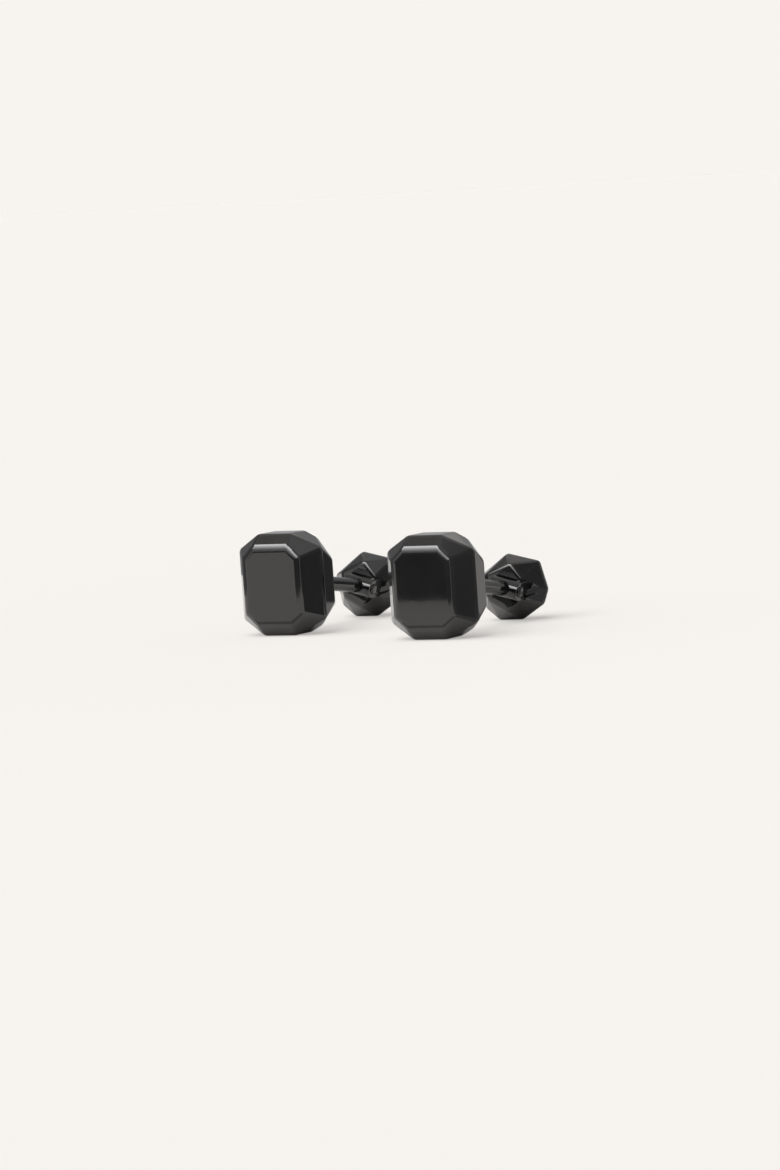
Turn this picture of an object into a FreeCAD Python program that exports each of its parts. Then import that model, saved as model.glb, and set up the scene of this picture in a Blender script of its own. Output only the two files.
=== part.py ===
import FreeCAD, Part
import itertools
import math
import os
import Sketcher
from FreeCAD import Placement, Rotation, Vector

# A pair of swivel-back cufflinks, lying as they are set down on a table.
# Each has a faceted head that stands on its lowest facet, a sloping post and a faceted
# button that swings on a pin at the post's end.
# In a cufflink's own frame +X is to its right seen from the front, +Y runs from the head
# to the button, +Z is up, and the origin lies on the table under the middle of the head.

doc = FreeCAD.newDocument("cufflinks")
sheet = doc.addObject("Spreadsheet::Sheet", "Sizes")

# Millimetres, and degrees where the name says so. A name that ends in share is a ratio.
sizes = {
    # The head: a step-cut stone shape, wider at its girdle than at its flat front table.
    "head_height": 12.5,
    "head_width": 11.7,
    "head_depth": 5.3,
    "table_height": 9.25,
    "table_width": 7.8,
    "table_cut_height": 1.3,
    "table_cut_width": 1.4,
    "table_round": 0.7,
    "top_crown_depth": 1.3,
    "side_crown_depth": 2.7,
    "corner_spread_share": 0.76,
    "back_corner_share": 0.43,
    "back_side_height": 5.2,
    # The hollow in the head and the plate that closes it.
    "front_wall": 1.8,
    "cavity_radius": 3.4,
    "plate_radius": 4.2,
    "plate_thickness": 0.8,
    "plate_edge": 0.15,
    "press_gap": 0.01,
    # The post and its conical foot.
    "stem_reach": 14.5,
    "post_radius": 0.9,
    "foot_radius": 2.0,
    "foot_tip_radius": 1.3,
    "foot_length": 1.4,
    # The swivel: a flat tongue on the post between the two ears of a clevis.
    "tongue_thickness": 1.3,
    "tongue_margin": 0.3,
    "ear_radius": 1.15,
    "ear_thickness": 1.0,
    "pin_radius": 0.45,
    "pin_head_radius": 0.7,
    "pin_head_length": 0.25,
    "pin_running_gap": 0.03,
    "washer_thickness": 0.2,
    "washer_radius": 0.85,
    "washer_play": 0.04,
    "pin_stand": 1.2,
    "pin_aside": 0.9,
    "clevis_floor": 0.6,
    "swivel_roll_degrees": 15.0,
    # The button: an uneven cut bead in two halves.
    "button_seat": 4.2,
    "button_depth": 5.4,
    "inner_face_reach": 2.95,
    "outer_face_reach": 2.6,
    "girdle_start": 2.3,
    "girdle_width": 0.5,
    "socket_radius": 2.4,
    "socket_depth": 1.0,
    "socket_gap": 0.02,
    # How the second cufflink lies beside the first.
    "pair_across": 25.0,
    "pair_along": 8.0,
    "pair_turn_degrees": 1.4,
    # How far every cutting shape runs past what it cuts, and how near two points count as one.
    "overrun": 2.0,
    "nearness": 0.000001,
}

# Corners of the button's inner and outer faces and of its girdle, clockwise from the top as seen
# from the head, as shares of a face's reach and of the height of the button's middle.
face_shares = [(0.29, 0.97), (0.80, 0.33), (0.70, -0.48), (0.13, -1.0), (-0.76, -0.50), (-0.80, 0.58)]
girdle_shares = [(-0.13, 0.93), (0.88, 0.69), (1.11, -0.14), (0.95, -0.56),
                 (0.24, -1.0), (-0.50, -1.0), (-0.92, -0.65), (-1.09, 0.26)]

for row, (alias, value) in enumerate(sizes.items(), start=1):
    sheet.set(f"A{row}", alias)
    sheet.set(f"B{row}", str(value))
    sheet.setAlias(f"B{row}", alias)
doc.recompute()


def size(alias):
    return float(sheet.get(alias))


right_axis = Vector(1, 0, 0)
depth_axis = Vector(0, 1, 0)
up_axis = Vector(0, 0, 1)
along_depth = Rotation(up_axis, depth_axis)
along_right = Rotation(up_axis, right_axis)

# Sums that several pieces share, written once for the code and once for the sheet's expressions.
slot_sum = "(Sizes.tongue_thickness + 2 * Sizes.washer_thickness + 4 * Sizes.washer_play)"
fork_sum = "(" + slot_sum + " + 2 * Sizes.ear_thickness)"
tongue_sum = "(Sizes.ear_radius + Sizes.tongue_margin)"
tongue_side = size("tongue_thickness") / 2
tongue_length = size("ear_radius") + size("tongue_margin")
slot_side = tongue_side + size("washer_thickness") + 2 * size("washer_play")
fork_side = slot_side + size("ear_thickness")

head_front = -size("head_depth") / 2
head_back = size("head_depth") / 2
head_middle = size("head_height") / 2
plate_front = head_back - size("plate_thickness")
pin_depth = head_back + size("stem_reach")
face_depth = pin_depth + size("pin_stand")
split_depth = face_depth + size("girdle_start") + size("girdle_width") / 2
stem_drop = head_middle - size("button_seat")
overrun = size("overrun")

# Where the pieces stand in a cufflink's own frame. The post's +Z runs from the pin up to the head.
plate_place = Placement(Vector(0, plate_front, head_middle), along_depth)
foot_place = Placement(Vector(0, head_back, head_middle), along_depth)
# The swivel is rolled about the depth axis, so its right side sits lower than its left.
swivel_roll = Rotation(depth_axis, size("swivel_roll_degrees"))
swivel_axis = swivel_roll.multVec(right_axis)
pin_aside = size("pin_aside")
pin_place = Placement(Vector(pin_aside, pin_depth, size("button_seat")), swivel_roll)
stem_line = Vector(-pin_aside, -size("stem_reach"), stem_drop)
stem_place = Placement(pin_place.Base, Rotation(swivel_axis, Vector(), stem_line, "ZXY"))
tongue_place = Placement(pin_place.Base, Rotation(swivel_axis, Vector(), stem_line, "XZY"))
face_place = Placement(Vector(pin_aside, face_depth, size("button_seat")), swivel_roll)
face_middle = Vector(0, face_depth, size("button_seat"))
split_middle = Vector(0, split_depth, size("button_seat"))
as_drawn = Placement()


def shifted(across, along, up, turn=Rotation()):
    return Placement(Vector(across, along, up), turn)


def bind(item, **expressions):
    for field, expression in expressions.items():
        item.setExpression(field, expression)
    return item


def cylinder(name, radius, height, place):
    item = doc.addObject("Part::Cylinder", name)
    item.Placement = place
    return bind(item, Radius=radius, Height=height)


def cone(name, radius, tip_radius, height, place):
    item = doc.addObject("Part::Cone", name)
    item.Placement = place
    return bind(item, Radius1=radius, Radius2=tip_radius, Height=height)


def box(name, length, width, height, place):
    item = doc.addObject("Part::Box", name)
    item.Placement = place
    return bind(item, Length=length, Width=width, Height=height)


def cut(name, base, tool):
    item = doc.addObject("Part::Cut", name)
    item.Base = base
    item.Tool = tool
    return item


def common(name, base, tool):
    item = doc.addObject("Part::Common", name)
    item.Base = base
    item.Tool = tool
    return item


def fuse(name, pieces):
    item = doc.addObject("Part::MultiFuse", name)
    item.Shapes = pieces
    item.Refine = True
    return item


def solid(name, shape):
    item = doc.addObject("Part::Feature", name)
    item.Shape = shape
    return item


def slice_off(shape, point, normal):
    # Removes what lies on the side of a plane that its normal points to.
    reach = 2 * (size("head_height") + size("head_width") + size("head_depth"))
    block = Part.makeBox(reach, reach, reach, Vector(-reach / 2, -reach / 2, 0))
    block.Placement = Placement(point, Rotation(up_axis, normal))
    return shape.cut(block)


def mirrored(point, normal):
    # A facet and its mirror images in the head's two planes of symmetry.
    for across in (1, -1) if normal.x else (1,):
        for up in (1, -1) if normal.z else (1,):
            yield (Vector(across * point.x, point.y, up * point.z),
                   Vector(across * normal.x, normal.y, up * normal.z))


def cut_head():
    half_width = size("head_width") / 2
    half_height = size("head_height") / 2
    table_side = size("table_width") / 2
    table_top = size("table_height") / 2
    top_depth = size("top_crown_depth")
    side_depth = size("side_crown_depth")
    cut_across = size("table_cut_width")
    cut_up = size("table_cut_height")
    spread = size("corner_spread_share")

    # The corner facet runs through the table's cut corner and spreads with depth.
    cut_length = math.hypot(cut_across, cut_up)
    corner = Vector(cut_up / cut_length, -spread, cut_across / cut_length)
    table_corner = Vector(table_side, head_front, table_top - cut_up)
    top_room = corner.dot(table_corner) + spread * (head_front + top_depth)
    side_room = corner.dot(table_corner) + spread * (head_front + side_depth)
    girdle_top = Vector((top_room - corner.z * half_height) / corner.x,
                        head_front + top_depth, half_height)
    girdle_side = Vector(half_width, head_front + side_depth,
                         (side_room - corner.x * half_width) / corner.z)

    # The back corner facet runs from the girdle's side corner to the back, where it starts partway
    # along the corner band.
    back_side = Vector(half_width, head_back, size("back_side_height") / 2)
    back_top = girdle_top + (girdle_side - girdle_top) * size("back_corner_share")
    back_top.y = head_back
    back_corner = (back_top - back_side).cross(girdle_side - back_side)
    if back_corner.x < 0:
        back_corner = back_corner * -1

    facets = [
        (Vector(0, head_front, table_top), Vector(0, table_top - half_height, top_depth)),
        (Vector(table_side, head_front, 0), Vector(side_depth, table_side - half_width, 0)),
        (table_corner, corner),
        (girdle_side, Vector(half_height - girdle_side.z, 0, half_width - girdle_top.x)),
        (back_side, back_corner),
    ]
    stone = Part.makeBox(size("head_width"), size("head_depth"), size("head_height"),
                         Vector(-half_width, head_front, -half_height))
    for point, normal in facets:
        for image_point, image_normal in mirrored(point, normal):
            stone = slice_off(stone, image_point, image_normal)

    near = size("nearness")
    rim = [edge for edge in stone.Edges
           if all(abs(vertex.Y - head_front) < near for vertex in edge.Vertexes)]
    stone = stone.makeFillet(size("table_round"), rim)
    stone.translate(Vector(0, 0, half_height))
    return stone


def hollow_head():
    cavity_start = Vector(0, head_front + size("front_wall"), head_middle)
    cavity = Part.makeCylinder(size("cavity_radius"), size("head_depth"), cavity_start, depth_axis)
    recess = Part.makeCylinder(size("plate_radius") + size("press_gap"), size("head_depth"),
                               plate_place.Base, depth_axis)
    return cut_head().cut(cavity).cut(recess)


def outline(shares, reach, depth):
    return [Vector(across * reach, depth, up * reach) for across, up in shares]


def touching_planes(corners):
    # The planes that rest on three corners or more with all the other corners behind them.
    near = size("nearness")
    found = []
    for a, b, c in itertools.combinations(corners, 3):
        normal = (b - a).cross(c - a)
        if normal.Length < near:
            continue
        normal.normalize()
        heights = [normal.dot(corner - a) for corner in corners]
        if max(heights) > near:
            normal = normal * -1
            heights = [-height for height in heights]
        known = any(normal.dot(other) > 1 - near for point, other in found)
        if max(heights) < near and not known:
            found.append((a, normal))
    return found


def cut_button():
    girdle_end = size("girdle_start") + size("girdle_width")
    corners = outline(face_shares, size("inner_face_reach"), 0)
    corners += outline(girdle_shares, size("button_seat"), size("girdle_start"))
    corners += outline(girdle_shares, size("button_seat"), girdle_end)
    corners += outline(face_shares, size("outer_face_reach"), size("button_depth"))
    reach = size("button_seat") + size("button_depth")
    bead = Part.makeBox(2 * reach, 2 * reach, 2 * reach, Vector(-reach, -reach, -reach))
    for point, normal in touching_planes(corners):
        bead = slice_off(bead, point, normal)
    bead.translate(face_middle)
    return bead


def button_halves():
    bead = cut_button()
    socket = Part.makeCylinder(size("socket_radius"), size("socket_depth") + overrun,
                               split_middle - depth_axis * size("socket_depth"), depth_axis)
    spigot = Part.makeCylinder(size("socket_radius") - size("socket_gap"),
                               size("socket_depth") - size("socket_gap"), split_middle, depth_axis * -1)
    pocket_side = fork_side + size("press_gap")
    pocket_up = size("ear_radius") + size("press_gap")
    pocket = Part.makeBox(2 * pocket_side, size("clevis_floor") + overrun, 2 * pocket_up,
                          Vector(-pocket_side, -overrun, -pocket_up))
    pocket.Placement = face_place
    base = slice_off(bead, split_middle, depth_axis).cut(socket).cut(pocket)
    cap = slice_off(bead, split_middle, depth_axis * -1).fuse(spigot).removeSplitter()
    return base, cap


def make_shell(name):
    return solid(name, head_shape), as_drawn


def make_base(name):
    return solid(name, base_shape), as_drawn


def make_cap(name):
    return solid(name, cap_shape), as_drawn


def make_plate(name):
    body = doc.addObject("PartDesign::Body", name)
    plane = [p for p in body.Origin.OriginFeatures if p.Role == "XY_Plane"][0]
    sketch = body.newObject("Sketcher::SketchObject", name + "_outline")
    sketch.AttachmentSupport = (plane, [""])
    sketch.MapMode = "FlatFace"
    sketch.addGeometry(Part.Circle(Vector(), up_axis, size("plate_radius")), False)
    sketch.addConstraint(Sketcher.Constraint("Coincident", 0, 3, -1, 1))
    radius = sketch.addConstraint(Sketcher.Constraint("Radius", 0, size("plate_radius")))
    sketch.setExpression(f"Constraints[{radius}]", "Sizes.plate_radius")
    pad = body.newObject("PartDesign::Pad", name + "_pad")
    pad.Profile = sketch
    bind(pad, Length="Sizes.plate_thickness")
    doc.recompute()
    rim = [f"Edge{number}" for number, edge in enumerate(pad.Shape.Edges, start=1)
           if edge.isClosed() and edge.BoundBox.ZMin > size("plate_thickness") / 2]
    chamfer = body.newObject("PartDesign::Chamfer", name + "_edge")
    chamfer.Base = (pad, rim)
    bind(chamfer, Size="Sizes.plate_edge")
    body.Tip = chamfer
    return body, plate_place


def make_foot(name):
    collar = cone(name + "_collar", "Sizes.foot_radius", "Sizes.foot_tip_radius", "Sizes.foot_length",
                  foot_place)
    bore = cylinder(name + "_bore", "Sizes.post_radius + Sizes.press_gap", "2 * Sizes.stem_reach",
                    stem_place)
    return cut(name, collar, bore), as_drawn


def make_post(name):
    # The tongue is square to the pin, and the round bar leaves it along the stem's slope.
    bar_place = tongue_place.inverse().multiply(stem_place).multiply(shifted(0, 0, tongue_length))
    bar = cylinder(name + "_bar", "Sizes.post_radius", "2 * Sizes.stem_reach", bar_place)
    tongue_reach = tongue_sum + " + Sizes.tongue_margin"
    round_end = cylinder(name + "_round_end", "Sizes.post_radius", tongue_reach, as_drawn)
    slab = box(name + "_slab", "Sizes.tongue_thickness", "2 * Sizes.post_radius", tongue_reach,
               shifted(-tongue_side, -size("post_radius"), 0))
    flat = common(name + "_flat", round_end, slab)
    eye = cylinder(name + "_eye", "Sizes.post_radius", "Sizes.tongue_thickness",
                   shifted(-tongue_side, 0, 0, along_right))
    bore = cylinder(name + "_bore", "Sizes.pin_radius + Sizes.pin_running_gap",
                    "2 * Sizes.tongue_thickness", shifted(-2 * tongue_side, 0, 0, along_right))
    pinned = cut(name + "_pinned", fuse(name + "_blank", [bar, flat, eye]), bore)
    # The root is trimmed flush with the outside of the back plate.
    corner = shifted(-size("head_width"), head_back - 2 * size("stem_reach"), -size("head_height"))
    root = box(name + "_root", "2 * Sizes.head_width", "2 * Sizes.stem_reach", "4 * Sizes.head_height",
               tongue_place.inverse().multiply(corner))
    return cut(name, pinned, root), tongue_place


def make_pin(name):
    shank = cylinder(name + "_shank", "Sizes.pin_radius", fork_sum,
                     shifted(-fork_side, 0, 0, along_right))
    rivet = [shank]
    for side in (1, -1):
        seat = shifted(side * fork_side, 0, 0, Rotation(up_axis, right_axis * side))
        rivet.append(cone(f"{name}_head_{len(rivet)}", "Sizes.pin_head_radius", "Sizes.pin_radius",
                          "Sizes.pin_head_length", seat))
    return fuse(name, rivet), pin_place


def make_washers(name):
    rings = []
    for side in (1, -1):
        seat = shifted(side * (tongue_side + size("washer_play")), 0, 0,
                       Rotation(up_axis, right_axis * side))
        disc = cylinder(f"{name}_disc_{len(rings)}", "Sizes.washer_radius", "Sizes.washer_thickness",
                        seat)
        hole = cylinder(f"{name}_hole_{len(rings)}", "Sizes.pin_radius + Sizes.pin_running_gap",
                        "Sizes.washer_thickness", seat)
        rings.append(cut(f"{name}_ring_{len(rings)}", disc, hole))
    pair = doc.addObject("Part::Compound", name)
    pair.Links = rings
    return pair, pin_place


def make_clevis(name):
    radius = size("ear_radius")
    block = box(name + "_block", fork_sum, "Sizes.pin_stand + Sizes.clevis_floor", "2 * Sizes.ear_radius",
                shifted(-fork_side, 0, -radius))
    ends = cylinder(name + "_ends", "Sizes.ear_radius", fork_sum, shifted(-fork_side, 0, 0, along_right))
    slot = box(name + "_slot", slot_sum, "Sizes.pin_stand + 2 * Sizes.ear_radius", "4 * Sizes.ear_radius",
               shifted(-slot_side, -2 * radius, -2 * radius))
    hole = cylinder(name + "_hole", "Sizes.pin_radius + Sizes.press_gap", fork_sum,
                    shifted(-fork_side, 0, 0, along_right))
    forked = cut(name + "_forked", fuse(name + "_blank", [block, ends]), slot)
    return cut(name, forked, hole), pin_place


head_shape = hollow_head()
base_shape, cap_shape = button_halves()
makers = {
    "head_shell": make_shell,
    "back_plate": make_plate,
    "stem_foot": make_foot,
    "stem_post": make_post,
    "hinge_pin": make_pin,
    "friction_washers": make_washers,
    "button_clevis": make_clevis,
    "button_base": make_base,
    "button_cap": make_cap,
}

# The right cufflink stands at the origin, and the left one beside it, turned a little.
stands = {
    "right": Placement(),
    "left": shifted(-size("pair_across"), size("pair_along"), 0,
                    Rotation(up_axis, -size("pair_turn_degrees"))),
}
parts = []
for side, stand in stands.items():
    for piece, make in makers.items():
        part, place = make(f"{side}_{piece}")
        part.Label = f"{side}_{piece}"
        part.Placement = stand.multiply(place)
        parts.append(part)
doc.recompute()

failed = [item.Name for item in doc.Objects if "Invalid" in item.State or "Error" in item.State]
failed += [part.Label for part in parts if part.Shape.isNull() or not part.Shape.isValid()]
if failed:
    raise RuntimeError("these pieces did not build: " + ", ".join(failed))

os.makedirs("parts", exist_ok=True)
for part in parts:
    part.Shape.exportStep(os.path.join("parts", part.Label + ".step"))
    print(f"{part.Label}: {len(part.Shape.Solids)} solid(s), {part.Shape.Volume:.2f} mm3")
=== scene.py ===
import bpy
import itertools
import math
from mathutils import Matrix, Vector


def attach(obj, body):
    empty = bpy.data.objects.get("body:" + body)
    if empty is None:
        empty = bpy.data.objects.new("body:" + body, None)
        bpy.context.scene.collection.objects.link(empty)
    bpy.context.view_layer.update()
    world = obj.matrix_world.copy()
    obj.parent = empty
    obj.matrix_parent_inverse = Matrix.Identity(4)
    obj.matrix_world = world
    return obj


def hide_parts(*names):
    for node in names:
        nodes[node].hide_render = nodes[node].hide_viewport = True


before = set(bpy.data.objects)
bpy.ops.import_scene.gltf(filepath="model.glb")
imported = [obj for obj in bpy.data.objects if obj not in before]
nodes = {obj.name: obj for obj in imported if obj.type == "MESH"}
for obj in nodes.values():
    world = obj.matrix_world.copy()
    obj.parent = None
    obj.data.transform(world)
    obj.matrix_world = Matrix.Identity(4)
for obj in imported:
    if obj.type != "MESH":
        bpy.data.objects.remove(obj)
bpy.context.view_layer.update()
mm = 0.001
samePlace = 0.01 * mm  # places closer than this count as one
roundSides = 96  # how many flats a round bar has
print("frame loaded with", len(nodes), "nodes")

# where each cufflink stands, as in the CAD: the left one lies beside the right one, turned a little
pair = {"across": -25, "behind": 8, "turn": math.radians(-1.4)}
leftPlace = Matrix.Translation((pair["across"] * mm, pair["behind"] * mm, 0))
stands = {"right": Matrix.Identity(4), "left": leftPlace @ Matrix.Rotation(pair["turn"], 4, "Z")}


def clearSelection():
    if bpy.context.mode != "OBJECT":
        bpy.ops.object.mode_set(mode="OBJECT")
    bpy.ops.object.select_all(action="DESELECT")


def pick(piece):
    clearSelection()
    piece.select_set(True)
    bpy.context.view_layer.objects.active = piece


def addBlock(name, low, high):
    clearSelection()
    middle = (low + high) / 2
    bpy.ops.mesh.primitive_cube_add(size=1, location=middle, scale=high - low)
    block = bpy.context.object
    block.name = name
    bpy.ops.object.transform_apply(location=True, rotation=True, scale=True)
    return block


def addRound(name, radius, start, length):
    # a round bar along the depth, from start towards the back
    clearSelection()
    middle = start + Vector((0, length / 2, 0))
    bpy.ops.mesh.primitive_cylinder_add(vertices=roundSides, radius=radius, depth=length, location=middle,
                                        rotation=(math.pi / 2, 0, 0))
    bar = bpy.context.object
    bar.name = name
    bpy.ops.object.transform_apply(location=True, rotation=True, scale=True)
    return bar


# how cuts are closed and how every piece's edges are rounded and shaded
edges = {
    "cutTolerance": 0.0001 * mm, "weld": 0.001 * mm,
    "leastTurn": math.radians(3), "smoothTurn": math.radians(50),
    "flatMatch": 0.99995, "flatWeight": 100, "roundProfile": 0.5,
}


def cutFacets(block, facets):
    # every facet is a plane that takes off what stands in front of it
    bpy.context.view_layer.objects.active = block
    bpy.ops.object.mode_set(mode="EDIT")
    for point, normal in facets:
        bpy.ops.mesh.select_all(action="SELECT")
        bpy.ops.mesh.bisect(plane_co=point, plane_no=normal, use_fill=True, clear_outer=True,
                            threshold=edges["cutTolerance"])
    bpy.ops.mesh.select_all(action="SELECT")
    bpy.ops.mesh.remove_doubles(threshold=edges["weld"])
    bpy.ops.mesh.normals_make_consistent(inside=False)
    bpy.ops.object.mode_set(mode="OBJECT")


def applyModifier(piece, kind, **settings):
    pick(piece)
    modifier = piece.modifiers.new(kind.lower(), kind)
    for field, value in settings.items():
        setattr(modifier, field, value)
    bpy.ops.object.modifier_apply(modifier=modifier.name)


def takeOut(piece, tool):
    applyModifier(piece, "BOOLEAN", operation="DIFFERENCE", object=tool, solver="EXACT")
    bpy.data.objects.remove(tool)


def shadeFlats(piece):
    # facets look flat and the rounded edges between them smooth
    pick(piece)
    bpy.ops.object.shade_smooth_by_angle(angle=edges["smoothTurn"])
    applyModifier(piece, "WEIGHTED_NORMAL", mode="FACE_AREA", weight=edges["flatWeight"], keep_sharp=True)


def roundEdges(piece, width, segments, shareOf):
    # shareOf says how much of the width an edge between two corners gets
    mesh = piece.data
    faceNormals = {}
    for face in mesh.polygons:
        for key in face.edge_keys:
            faceNormals.setdefault(key, []).append(face.normal)
    weights = mesh.attributes.new("bevel_weight_edge", "FLOAT", "EDGE")
    for edge in mesh.edges:
        sides = faceNormals.get(edge.key, [])
        turn = sides[0].angle(sides[1], 0) if len(sides) == 2 else 0
        a, b = (mesh.vertices[i].co for i in edge.vertices)
        weights.data[edge.index].value = shareOf(a, b) if turn > edges["leastTurn"] else 0
    flats = [face.normal.copy() for face in mesh.polygons]
    applyModifier(piece, "BEVEL", limit_method="WEIGHT", width=width, segments=segments,
                  profile=edges["roundProfile"], use_clamp_overlap=True)
    # faces that no longer lie in a flat are the rounded edges, and the lacquer is thinner there
    worn = mesh.attributes.new("edgeWear", "FLOAT", "FACE")
    for face in mesh.polygons:
        flat = any(face.normal.dot(normal) > edges["flatMatch"] for normal in flats)
        worn.data[face.index].value = 0.0 if flat else 1.0
    shadeFlats(piece)


def newMaterial(name):
    material = bpy.data.materials.new(name)
    material.use_nodes = True
    tree = material.node_tree
    return material, tree, tree.nodes["Principled BSDF"]


def setInputs(tree, node, inputs):
    for socket, value in inputs.items():
        if isinstance(value, bpy.types.NodeSocket):
            tree.links.new(value, node.inputs[socket])
        else:
            node.inputs[socket].default_value = value


def addNode(tree, kind, inputs=None, **settings):
    node = tree.nodes.new(kind)
    for field, value in settings.items():
        setattr(node, field, value)
    setInputs(tree, node, inputs or {})
    return node


def addNoise(tree, place, scale, detail):
    inputs = {"Vector": place, "Scale": scale, "Detail": detail}
    return addNode(tree, "ShaderNodeTexNoise", inputs).outputs["Fac"]


def addStretch(tree, place, stretch, turn=(0, 0, 0)):
    mapping = addNode(tree, "ShaderNodeMapping", {"Vector": place, "Scale": stretch, "Rotation": turn})
    return mapping.outputs["Vector"]


def addSpan(tree, value, fromSpan, toSpan, **settings):
    inputs = {"Value": value, "From Min": fromSpan[0], "From Max": fromSpan[1], "To Min": toSpan[0],
              "To Max": toSpan[1]}
    return addNode(tree, "ShaderNodeMapRange", inputs, **settings).outputs[0]


def addTint(tree, value, colours, span):
    ramp = addNode(tree, "ShaderNodeValToRGB", {"Fac": value})
    for element, colour, position in zip(ramp.color_ramp.elements, colours, span):
        element.color = colour
        element.position = position
    return ramp.outputs["Color"]


def addMath(tree, operation, first, second):
    return addNode(tree, "ShaderNodeMath", {0: first, 1: second}, operation=operation).outputs[0]


def mixColours(tree, factor, first, second):
    # a colour mix has its two colours in sockets 6 and 7, and its result in output 2
    inputs = {"Factor": factor, 6: first, 7: second}
    return addNode(tree, "ShaderNodeMix", inputs, data_type="RGBA").outputs[2]


def addBump(tree, height, strength, depth):
    inputs = {"Height": height, "Strength": strength, "Distance": depth}
    return addNode(tree, "ShaderNodeBump", inputs).outputs["Normal"]


# black lacquer on the heads and the buttons
lacquer = {
    "tints": ((0.0042, 0.0042, 0.0046, 1), (0.0085, 0.0083, 0.0080, 1)),
    "cloudScale": 260, "cloudDetail": 5.0, "cloudSpan": (0.3, 0.75),
    "edge": (0.016, 0.016, 0.016, 1),
    "gloss": (0.045, 0.10), "glossSpan": (0.25, 0.8),
    "scratchScale": 5400, "scratchDetail": 2.0, "scratchSpan": (0.68, 0.8), "scratchRough": 0.03,
    "scratchStretch": (1.0, 0.12, 0.05), "scratchTurn": (0.3, 0.2, 0.5),
    "peelScale": 1500, "peelDetail": 1.0, "bump": 0.006, "bumpDepth": 0.0002,
    "ior": 1.62, "coat": 0.25, "coatRough": 0.03,
}


def makeLacquer():
    material, tree, shader = newMaterial("blackLacquer")
    place = addNode(tree, "ShaderNodeTexCoord").outputs["Object"]
    cloud = addNoise(tree, place, lacquer["cloudScale"], lacquer["cloudDetail"])
    tint = addTint(tree, cloud, lacquer["tints"], lacquer["cloudSpan"])
    worn = addNode(tree, "ShaderNodeAttribute", attribute_name="edgeWear").outputs["Fac"]
    rub = addMath(tree, "MULTIPLY", worn, cloud)
    # hairline scratches are a noise stretched along one way
    along = addStretch(tree, place, lacquer["scratchStretch"], lacquer["scratchTurn"])
    scratch = addNoise(tree, along, lacquer["scratchScale"], lacquer["scratchDetail"])
    scratchRough = addSpan(tree, scratch, lacquer["scratchSpan"], (0.0, lacquer["scratchRough"]))
    gloss = addSpan(tree, cloud, lacquer["glossSpan"], lacquer["gloss"])
    peel = addNoise(tree, place, lacquer["peelScale"], lacquer["peelDetail"])
    setInputs(tree, shader, {
        "Base Color": mixColours(tree, rub, tint, lacquer["edge"]),
        "Roughness": addMath(tree, "ADD", gloss, scratchRough),
        "Normal": addBump(tree, peel, lacquer["bump"], lacquer["bumpDepth"]),
        "IOR": lacquer["ior"],
        "Coat Weight": lacquer["coat"],
        "Coat Roughness": lacquer["coatRough"],
    })
    return material


# black plating on the post, its foot, the plate, the clevis and the pin
plating = {
    "tints": ((0.0045, 0.0045, 0.005, 1), (0.009, 0.009, 0.0095, 1)),
    "grainScale": 700, "grainDetail": 6.0, "grainSpan": (0.3, 0.75),
    "gloss": (0.05, 0.10), "markScale": 4200, "markDetail": 3.0, "markStretch": (0.15, 1.0, 0.15),
    "bump": 0.02, "bumpDepth": 0.0001, "ior": 1.65,
}


def makePlating():
    material, tree, shader = newMaterial("blackPlating")
    place = addNode(tree, "ShaderNodeTexCoord").outputs["Object"]
    grain = addNoise(tree, place, plating["grainScale"], plating["grainDetail"])
    # turning marks run round the post
    turned = addStretch(tree, place, plating["markStretch"])
    marks = addNoise(tree, turned, plating["markScale"], plating["markDetail"])
    setInputs(tree, shader, {
        "Base Color": addTint(tree, grain, plating["tints"], plating["grainSpan"]),
        "Roughness": addSpan(tree, marks, plating["grainSpan"], plating["gloss"]),
        "Normal": addBump(tree, marks, plating["bump"], plating["bumpDepth"]),
        "IOR": plating["ior"],
    })
    return material


# blackened steel of the washers
steel = {
    "tints": ((0.035, 0.035, 0.037, 1), (0.065, 0.065, 0.068, 1)),
    "gloss": (0.22, 0.38), "brushScale": 2600, "brushDetail": 4.0, "brushStretch": (0.1, 1.0, 1.0),
    "bump": 0.05, "bumpDepth": 0.0001,
}


def makeSteel():
    material, tree, shader = newMaterial("brushedSteel")
    place = addNode(tree, "ShaderNodeTexCoord").outputs["Object"]
    along = addStretch(tree, place, steel["brushStretch"])
    brush = addNoise(tree, along, steel["brushScale"], steel["brushDetail"])
    setInputs(tree, shader, {
        "Base Color": addTint(tree, brush, steel["tints"], (0.0, 1.0)),
        "Roughness": addSpan(tree, brush, (0.0, 1.0), steel["gloss"]),
        "Normal": addBump(tree, brush, steel["bump"], steel["bumpDepth"]),
        "Metallic": 1.0,
    })
    return material


blackLacquer = makeLacquer()
blackPlating = makePlating()
brushedSteel = makeSteel()
print("finishes made")

# head: a step-cut stone shape, sizes in millimetres as in the CAD
head = {
    "width": 11.7, "height": 12.5, "depth": 5.3,
    "tableWidth": 7.8, "tableHeight": 9.25, "tableCut": (1.4, 1.3),
    "topCrown": 1.3, "sideCrown": 2.7, "cornerSpread": 0.76,
    "backCornerShare": 0.43, "backSideHeight": 5.2,
    "plateRadius": 4.21, "plateThickness": 0.8, "cavityRadius": 3.4, "frontWall": 1.8,
    "rimRound": 0.6, "edgeShare": 0.45, "segments": 8,
}


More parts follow.
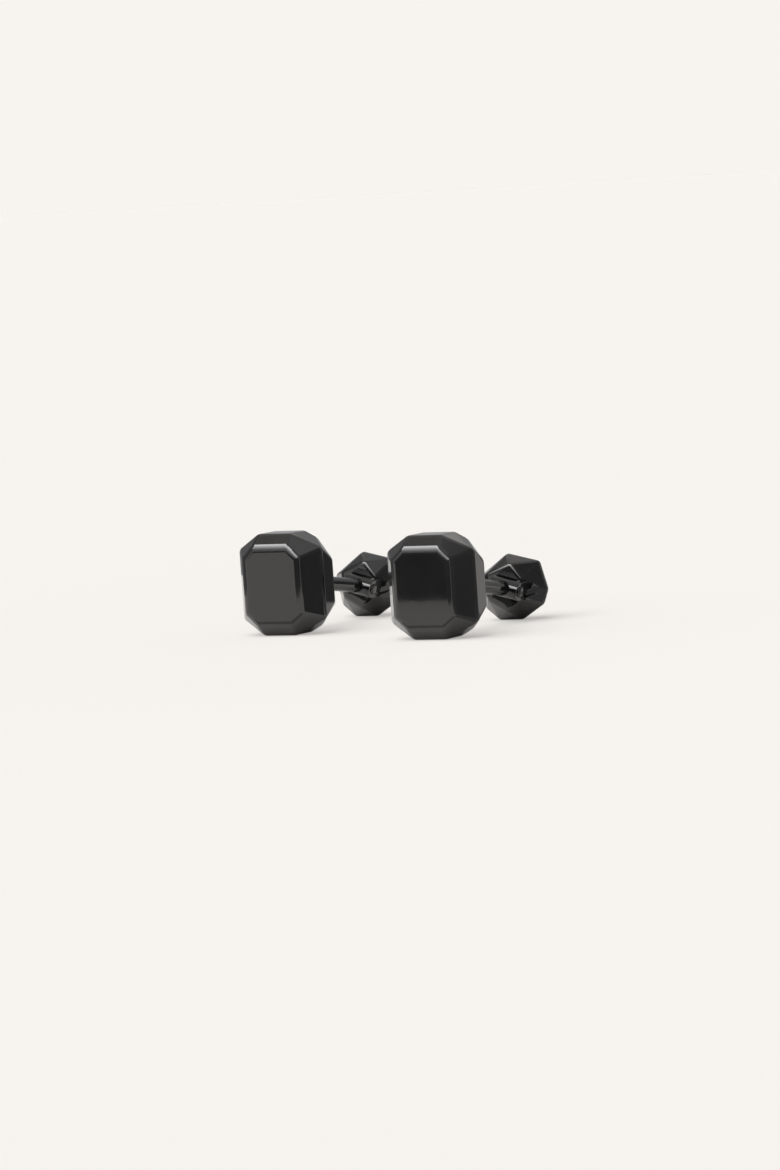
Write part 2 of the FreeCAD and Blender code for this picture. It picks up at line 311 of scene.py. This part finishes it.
def headFacets():
    halfWidth, halfHeight = head["width"] / 2, head["height"] / 2
    front, back = -head["depth"] / 2, head["depth"] / 2
    tableSide, tableTop = head["tableWidth"] / 2, head["tableHeight"] / 2
    cutAcross, cutUp = head["tableCut"]
    spread = head["cornerSpread"]
    cutLength = math.hypot(cutAcross, cutUp)
    corner = Vector((cutUp / cutLength, -spread, cutAcross / cutLength))
    tableCorner = Vector((tableSide, front, tableTop - cutUp))
    room = corner.dot(tableCorner) + spread * front
    girdleTop = (room + spread * head["topCrown"] - corner.z * halfHeight) / corner.x
    girdleSide = (room + spread * head["sideCrown"] - corner.x * halfWidth) / corner.z
    sideCorner = Vector((halfWidth, front + head["sideCrown"], girdleSide))
    backSide = Vector((halfWidth, back, head["backSideHeight"] / 2))
    topCorner = Vector((girdleTop, front + head["topCrown"], halfHeight))
    backTop = topCorner.lerp(sideCorner, head["backCornerShare"])
    backTop.y = back
    backCorner = (backTop - backSide).cross(sideCorner - backSide)
    if backCorner.x < 0:
        backCorner.negate()
    # one quarter of the head, mirrored to the other three
    quarter = [
        (Vector((0, front, tableTop)), Vector((0, tableTop - halfHeight, head["topCrown"]))),
        (Vector((tableSide, front, 0)), Vector((head["sideCrown"], tableSide - halfWidth, 0))),
        (tableCorner, corner),
        (sideCorner, Vector((halfHeight - girdleSide, 0, halfWidth - girdleTop))),
        (backSide, backCorner),
    ]
    middle = Vector((0, 0, halfHeight))
    for point, normal in quarter:
        for across in (1, -1) if normal.x else (1,):
            for up in (1, -1) if normal.z else (1,):
                mirror = Vector((across, 1, up))
                yield (point * mirror + middle) * mm, (normal * mirror).normalized()


def makeHead(name):
    halfWidth = head["width"] / 2
    low = Vector((-halfWidth, -head["depth"] / 2, 0)) * mm
    high = Vector((halfWidth, head["depth"] / 2, head["height"])) * mm
    stone = addBlock(name, low, high)
    cutFacets(stone, headFacets())
    # the hollow and the seat of the back plate, a little longer than needed so that they meet
    overlap = 0.1 * mm
    middle = Vector((0, 0, head["height"] / 2 * mm))
    seat = middle + Vector((0, high.y - head["plateThickness"] * mm, 0))
    cavity = middle + Vector((0, low.y + head["frontWall"] * mm, 0))
    takeOut(stone, addRound("plateSeat", head["plateRadius"] * mm, seat, head["depth"] * mm))
    takeOut(stone, addRound("cavity", head["cavityRadius"] * mm, cavity, seat.y - cavity.y + overlap))
    hollowRadius = head["plateRadius"] * mm + overlap / 2

    def share(a, b):
        edge = (a + b) / 2 - middle
        inHollow = math.hypot(edge.x, edge.z) < hollowRadius and edge.y > low.y + overlap
        onTable = max(a.y, b.y) < low.y + samePlace
        if inHollow:
            return 0
        return 1 if onTable else head["edgeShare"]

    roundEdges(stone, head["rimRound"] * mm, head["segments"], share)
    return stone


# button: an uneven cut bead in two halves; the corners of its faces and girdle are shares of their reach
button = {
    "seat": 4.2, "depth": 5.4, "faceStart": 18.35,
    "innerReach": 2.95, "outerReach": 2.6, "girdleStart": 2.3, "girdleWidth": 0.5,
    "face": [(0.29, 0.97), (0.80, 0.33), (0.70, -0.48), (0.13, -1.0), (-0.76, -0.50), (-0.80, 0.58)],
    "girdle": [(-0.13, 0.93), (0.88, 0.69), (1.11, -0.14), (0.95, -0.56),
               (0.24, -1.0), (-0.50, -1.0), (-0.92, -0.65), (-1.09, 0.26)],
    "pocket": (1.94, 0.6, 1.16), "pinAside": 0.9, "roll": math.radians(15),
    "round": 0.36, "edgeShare": 0.55, "segments": 5,
}


def ringAt(shares, reach, depth):
    return [Vector((across * reach, depth, up * reach)) for across, up in shares]


def touchingPlanes(corners):
    # planes that rest on three corners or more with all the others behind them
    tolerance = 0.00001
    sameWay = 1 - tolerance
    found = []
    for a, b, c in itertools.combinations(corners, 3):
        normal = (b - a).cross(c - a)
        if normal.length < tolerance:
            continue
        normal.normalize()
        heights = [normal.dot(corner - a) for corner in corners]
        if max(heights) > tolerance:
            normal.negate()
            heights = [-height for height in heights]
        known = any(normal.dot(other) > sameWay for point, other in found)
        if max(heights) < tolerance and not known:
            found.append((a, normal))
    return found


def rollPiece(piece, centre):
    # the swivel sits rolled about the depth axis
    piece.data.transform(Matrix.Translation(centre) @ Matrix.Rotation(button["roll"], 4, "Y")
                         @ Matrix.Translation(-centre))


def makeButtonHalf(name, inner):
    girdleEnd = button["girdleStart"] + button["girdleWidth"]
    corners = ringAt(button["face"], button["innerReach"], 0)
    corners += ringAt(button["girdle"], button["seat"], button["girdleStart"])
    corners += ringAt(button["girdle"], button["seat"], girdleEnd)
    corners += ringAt(button["face"], button["outerReach"], button["depth"])
    start = Vector((0, button["faceStart"], button["seat"]))
    split = start + Vector((0, (button["girdleStart"] + girdleEnd) / 2, 0))
    facets = [((start + point) * mm, normal) for point, normal in touchingPlanes(corners)]
    facets.append((split * mm, Vector((0, 1 if inner else -1, 0))))
    # a block that is large enough on every side is cut down to the half
    reach = Vector((1, 1, 1)) * 2 * button["seat"]
    bead = addBlock(name, (split - reach) * mm, (split + reach) * mm)
    cutFacets(bead, facets)

    def share(a, b):
        onSplit = all(abs(p.y - split.y * mm) < samePlace for p in (a, b))
        onFace = all(abs(p.y - start.y * mm) < samePlace for p in (a, b))
        if onSplit:
            return 0
        return 1 if onFace else button["edgeShare"]

    roundEdges(bead, button["round"] * mm, button["segments"], share)
    if inner:
        # seat of the clevis strap
        side, deep, up = button["pocket"]
        inFront = 1
        strap = start + Vector((button["pinAside"], 0, 0))
        low = strap - Vector((side, inFront, up))
        high = strap + Vector((side, deep, up))
        seat = addBlock("clevisSeat", low * mm, high * mm)
        rollPiece(seat, strap * mm)
        takeOut(bead, seat)
        shadeFlats(bead)
    return bead


# clevis: two round-ended ears on a strap
clevis = {
    "pinDepth": 17.15, "pinHeight": 4.2, "strapEnd": 18.95, "strapFront": 18.35,
    "slotSide": 0.93, "forkSide": 1.93, "earRadius": 1.15, "earRoundShare": 0.999, "earSegments": 20,
    "round": 0.42, "strapShare": 0.2, "segments": 6,
}


def makeClevis(name):
    height = clevis["pinHeight"]
    low = Vector((-clevis["forkSide"], clevis["strapFront"], height - clevis["earRadius"])) * mm
    high = Vector((clevis["forkSide"], clevis["strapEnd"], height + clevis["earRadius"])) * mm
    fork = addBlock(name, low, high)
    mesh = fork.data
    bpy.ops.object.mode_set(mode="EDIT")
    for side in (1, -1):
        bpy.ops.mesh.select_all(action="SELECT")
        bpy.ops.mesh.bisect(plane_co=(side * clevis["slotSide"] * mm, 0, 0), plane_no=(1, 0, 0),
                            threshold=edges["cutTolerance"])
    # the ears are drawn out of the strap's front
    bpy.ops.mesh.select_all(action="DESELECT")
    bpy.ops.object.mode_set(mode="OBJECT")
    towardsFront = -0.9
    for face in mesh.polygons:
        face.select = face.normal.y < towardsFront and abs(face.center.x) > clevis["slotSide"] * mm
    bpy.ops.object.mode_set(mode="EDIT")
    bpy.ops.mesh.select_mode(type="FACE")
    length = clevis["strapFront"] - clevis["pinDepth"] + clevis["earRadius"]
    bpy.ops.mesh.extrude_region_move(TRANSFORM_OT_translate={"value": (0, -length * mm, 0)})
    # their ends are rounded about the pin, just short of meeting in the middle
    bpy.ops.mesh.select_mode(type="EDGE")
    bpy.ops.mesh.select_all(action="DESELECT")
    bpy.ops.object.mode_set(mode="OBJECT")
    tip = (clevis["pinDepth"] - clevis["earRadius"]) * mm
    for edge in mesh.edges:
        a, b = (mesh.vertices[i].co for i in edge.vertices)
        atTip = abs(a.y - tip) < samePlace and abs(b.y - tip) < samePlace
        edge.select = atTip and abs(a.z - b.z) < samePlace
    bpy.ops.object.mode_set(mode="EDIT")
    bpy.ops.mesh.bevel(offset=clevis["earRadius"] * clevis["earRoundShare"] * mm, affect="EDGES",
                       segments=clevis["earSegments"], profile=edges["roundProfile"])
    bpy.ops.mesh.select_all(action="SELECT")
    bpy.ops.mesh.normals_make_consistent(inside=False)
    bpy.ops.object.mode_set(mode="OBJECT")
    front = clevis["strapFront"] * mm

    def share(a, b):
        # full rounding along the ears' sides, none across them or where they meet the strap
        nearest = min(a.y, b.y)
        if nearest > front - samePlace:
            return clevis["strapShare"] if nearest > front + samePlace else 0
        across = abs(a.x - b.x) > samePlace
        return 0 if across else 1

    roundEdges(fork, clevis["round"] * mm, clevis["segments"], share)
    rollPiece(fork, Vector((0, clevis["pinDepth"], height)) * mm)
    fork.data.transform(Matrix.Translation((button["pinAside"] * mm, 0, 0)))
    return fork


# pin: a shank with a low domed head at each end
pin = {"shank": 0.45, "head": 0.7, "headLength": 0.25, "round": 0.24, "segments": 6}


def makePin(name):
    side = clevis["forkSide"] * mm
    reach = side + pin["headLength"] * mm
    shank = addRound(name, pin["shank"] * mm, Vector((0, -side, 0)), 2 * side)
    for start, tip in ((side, reach), (-reach, -reach)):
        rivet = addRound("rivetHead", pin["head"] * mm, Vector((0, start, 0)), pin["headLength"] * mm)

        def share(a, b):
            return 1 if abs(a.y - tip) < samePlace and abs(b.y - tip) < samePlace else 0

        roundEdges(rivet, pin["round"] * mm, pin["segments"], share)
        pick(shank)
        rivet.select_set(True)
        bpy.ops.object.join()
    place = Matrix.Translation(Vector((button["pinAside"], clevis["pinDepth"], clevis["pinHeight"])) * mm)
    lieAcross = Matrix.Rotation(-math.pi / 2, 4, "Z")
    shank.data.transform(place @ Matrix.Rotation(button["roll"], 4, "Y") @ lieAcross)
    return shank


def placeCopies(pattern, piece, body, finish):
    # what is modelled once is copied onto both cufflinks, each copy with its own mesh
    for side, stand in stands.items():
        copy = pattern.copy()
        copy.data = pattern.data.copy()
        copy.name = side + pattern.name[0].upper() + pattern.name[1:]
        copy.data.transform(stand)
        copy.data.materials.clear()
        copy.data.materials.append(finish)
        bpy.context.scene.collection.objects.link(copy)
        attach(copy, f"{side}_{body}")
        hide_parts(f"{side}_{piece}")
    bpy.data.objects.remove(pattern)


placeCopies(makeHead("headStone"), "head_shell", "head", blackLacquer)
print("heads cut")
placeCopies(makeButtonHalf("buttonInner", True), "button_base", "button", blackLacquer)
placeCopies(makeButtonHalf("buttonOuter", False), "button_cap", "button", blackLacquer)
print("buttons cut")
placeCopies(makeClevis("clevisFork"), "button_clevis", "button", blackPlating)
placeCopies(makePin("pinRivet"), "hinge_pin", "button", blackPlating)
print("clevises and pins made")

# pieces that keep the CAD's own shape
finishes = {"back_plate": blackPlating, "stem_foot": blackPlating, "stem_post": blackPlating,
            "friction_washers": brushedSteel}
for side in stands:
    for piece, finish in finishes.items():
        mesh = nodes[f"{side}_{piece}"].data
        mesh.materials.clear()
        mesh.materials.append(finish)
print("plates, posts and washers finished")

# floor: pale paper, a share of whose brightness is its own where it is seen straight
paper = {
    "size": 6, "colour": (0.93, 0.905, 0.865, 1), "ownShare": 0.42,
    "rough": 0.9, "sheen": 0.1, "fibreScale": 900.0, "fibreDetail": 3.0, "bump": 0.02, "bumpDepth": 0.0001,
}


def makeFloor():
    clearSelection()
    bpy.ops.mesh.primitive_plane_add(size=paper["size"], location=(0, 0, 0))
    floor = bpy.context.object
    floor.name = "paperFloor"
    material, tree, shader = newMaterial("palePaper")
    place = addNode(tree, "ShaderNodeTexCoord").outputs["Object"]
    fibre = addNoise(tree, place, paper["fibreScale"], paper["fibreDetail"])
    # the shadows stay light for the camera, and reflections show them in full
    seen = addNode(tree, "ShaderNodeLightPath").outputs["Is Camera Ray"]
    own = addMath(tree, "MULTIPLY", seen, paper["ownShare"])
    setInputs(tree, shader, {
        "Base Color": mixColours(tree, own, paper["colour"], (0, 0, 0, 1)),
        "Emission Color": paper["colour"],
        "Emission Strength": own,
        "Roughness": paper["rough"],
        "Specular IOR Level": paper["sheen"],
        "Normal": addBump(tree, fibre, paper["bump"], paper["bumpDepth"]),
    })
    floor.data.materials.append(material)


# light: a white fill and a wide lamp, and surroundings that dim overhead
light = {
    "fill": 0.3, "ceiling": 0.6, "ceilingSpan": (0.15, 0.7),
    "sunStrength": 2.5, "sunAngle": math.radians(70), "sunFrom": (-0.45, -0.50, 1.1),
}


def makeWorld():
    world = bpy.data.worlds.new("studioWorld")
    bpy.context.scene.world = world
    world.use_nodes = True
    tree = world.node_tree
    path = addNode(tree, "ShaderNodeLightPath").outputs
    seen = addMath(tree, "MAXIMUM", path["Is Camera Ray"], path["Is Glossy Ray"])
    seen = addMath(tree, "MAXIMUM", seen, path["Is Transmission Ray"])
    # what is seen has the paper's colour, the light itself is white
    way = addNode(tree, "ShaderNodeTexCoord").outputs["Generated"]
    height = addNode(tree, "ShaderNodeSeparateXYZ", {"Vector": way}).outputs["Z"]
    dim = addSpan(tree, height, light["ceilingSpan"], (1.0, light["ceiling"]))
    strength = addNode(tree, "ShaderNodeMix", {"Factor": seen, 2: light["fill"], 3: dim})
    setInputs(tree, tree.nodes["Background"], {
        "Color": mixColours(tree, seen, (1, 1, 1, 1), paper["colour"]),
        "Strength": strength.outputs[0],
    })


def makeKeyLight():
    lamp = bpy.data.lights.new("keyLight", "SUN")
    lamp.energy = light["sunStrength"]
    lamp.angle = light["sunAngle"]
    key = bpy.data.objects.new("keyLight", lamp)
    key.visible_glossy = False
    key.location = Vector(light["sunFrom"])
    key.rotation_euler = (-key.location).to_track_quat("-Z", "Y").to_euler()
    bpy.context.scene.collection.objects.link(key)


# cards that only the reflections see, so that they paint dark and dim reflections into the glossy faces:
# corner, along and up in millimetres, and how bright they are
cards = {
    # a dim sheet on the floor at the right head's right: a painted shadow that the lower right facets
    # reflect
    "rightFloor": ((6.5, -6, 0.02), (24, 0, 0), (0, 34, 0), 0.35),
    "leftCard": ((-90, -40, 0), (0, 180, 0), (0, 0, 90), 0.25),
    "frontCard": ((-42, -52, 0), (72, 0, 0), (0, 0, 24), 0.12),
    "rimCard": ((-78, -52, 8), (36, 0, 0), (0, 0, 15), 0.12),
    # dim strips on the floor in front of each head: a painted dark line along the tables' lower rims
    "rightFoot": ((-7, -5.4, 0.02), (12.5, 0, 0), (0, 1.7, 0), 0.45),
    "leftFoot": ((-32, 2.6, 0.02), (12.5, 0, 0), (0, 1.7, 0), 0.45),
    # a dim card before the right head's left side: a painted reflection in the left head's right facets
    "gapCard": ((-6.3, 1.6, 0), (0, 4.4, 0), (0, 0, 12.5), 0.17),
    "backCard": ((-9, 46, 0), (18, 0, 0), (0, 0, 14), 0.12),
    "postCard": ((-50, 47, 0), (74, 0, 0), (0, 0, 34), 0.45),
}
# cards that are brighter at the head than at the foot, and between which shares of their height that changes
fadedCards = {
    # a dim card on the right that only reflections see: a painted dark reflection in the right-facing
    # facets, darker at its foot
    "rightCard": ((30, -45, 0), (0, 81, 0), (0, 0, 150), (0.2, 0.8), (0.3, 0.6)),
    # a bright card that only reflections see and that lights nothing: a painted highlight along the rims of
    # the heads and on the ears
    "softBox": ((-280, -150, 59), (358, -140, 0), (0, 0, 331), (0.7, 7.5), (0.05, 0.75)),
}


def makeCard(name, corner, along, up):
    corner, along, up = Vector(corner) * mm, Vector(along) * mm, Vector(up) * mm
    clearSelection()
    bpy.ops.mesh.primitive_plane_add(size=1, location=(0, 0, 0))
    card = bpy.context.object
    card.name = name
    for vertex in card.data.vertices:
        vertex.co = corner + along * (vertex.co.x + 0.5) + up * (vertex.co.y + 0.5)
    material, tree, shader = newMaterial(name)
    setInputs(tree, shader, {"Base Color": (0, 0, 0, 1), "Specular IOR Level": 0.0,
                             "Emission Color": (1, 1, 1, 1)})
    card.data.materials.append(material)
    # seen only in reflections, lighting nothing and casting no shadow: what they show is painted reflection
    card.visible_camera = False
    card.visible_diffuse = False
    card.visible_transmission = False
    card.visible_shadow = False
    return tree, shader


def makeCards():
    for name, (corner, along, up, glow) in cards.items():
        tree, shader = makeCard(name, corner, along, up)
        shader.inputs["Emission Strength"].default_value = glow
    for name, (corner, along, up, glow, fadeSpan) in fadedCards.items():
        tree, shader = makeCard(name, corner, along, up)
        way = addNode(tree, "ShaderNodeTexCoord").outputs["UV"]
        height = addNode(tree, "ShaderNodeSeparateXYZ", {"Vector": way}).outputs["Y"]
        fade = addSpan(tree, height, fadeSpan, glow, interpolation_type="SMOOTHSTEP")
        tree.links.new(fade, shader.inputs["Emission Strength"])


# the photo looks at the right head from its front right, a little from above, with a small roll
view = {
    "azimuth": 28.74, "elevation": 4.68, "roll": 3.89, "distance": 700.0, "pixelsPerMm": 8.42,
    "aim": (0, 0.35, 6.25), "aimPixel": (433.6, 586.0), "imageSize": (780, 1170),
    "sensor": 36, "clip": (0.01, 20),
}


def makeCamera():
    turn, tilt, roll = (math.radians(view[k]) for k in ("azimuth", "elevation", "roll"))
    ahead = Vector((-math.sin(turn) * math.cos(tilt), math.cos(turn) * math.cos(tilt), -math.sin(tilt)))
    level = Vector((math.cos(turn), math.sin(turn), 0))
    upright = level.cross(ahead)
    right = level * math.cos(roll) - upright * math.sin(roll)
    up = upright * math.cos(roll) + level * math.sin(roll)
    width, height = view["imageSize"]
    across = (view["aimPixel"][0] - width / 2) / view["pixelsPerMm"]
    above = (height / 2 - view["aimPixel"][1]) / view["pixelsPerMm"]
    place = Vector(view["aim"]) - ahead * view["distance"] - right * across - up * above
    lens = bpy.data.cameras.new("camera")
    lens.sensor_width = view["sensor"]
    lens.lens = view["pixelsPerMm"] * view["distance"] * view["sensor"] / height
    lens.clip_start, lens.clip_end = view["clip"]
    camera = bpy.data.objects.new("camera", lens)
    camera.matrix_world = Matrix.Translation(place * mm) @ Matrix((right, up, -ahead)).transposed().to_4x4()
    bpy.context.scene.collection.objects.link(camera)
    bpy.context.scene.camera = camera


makeFloor()
makeWorld()
makeKeyLight()
makeCards()
makeCamera()
bpy.context.scene.view_settings.view_transform = "Standard"
print("studio set")
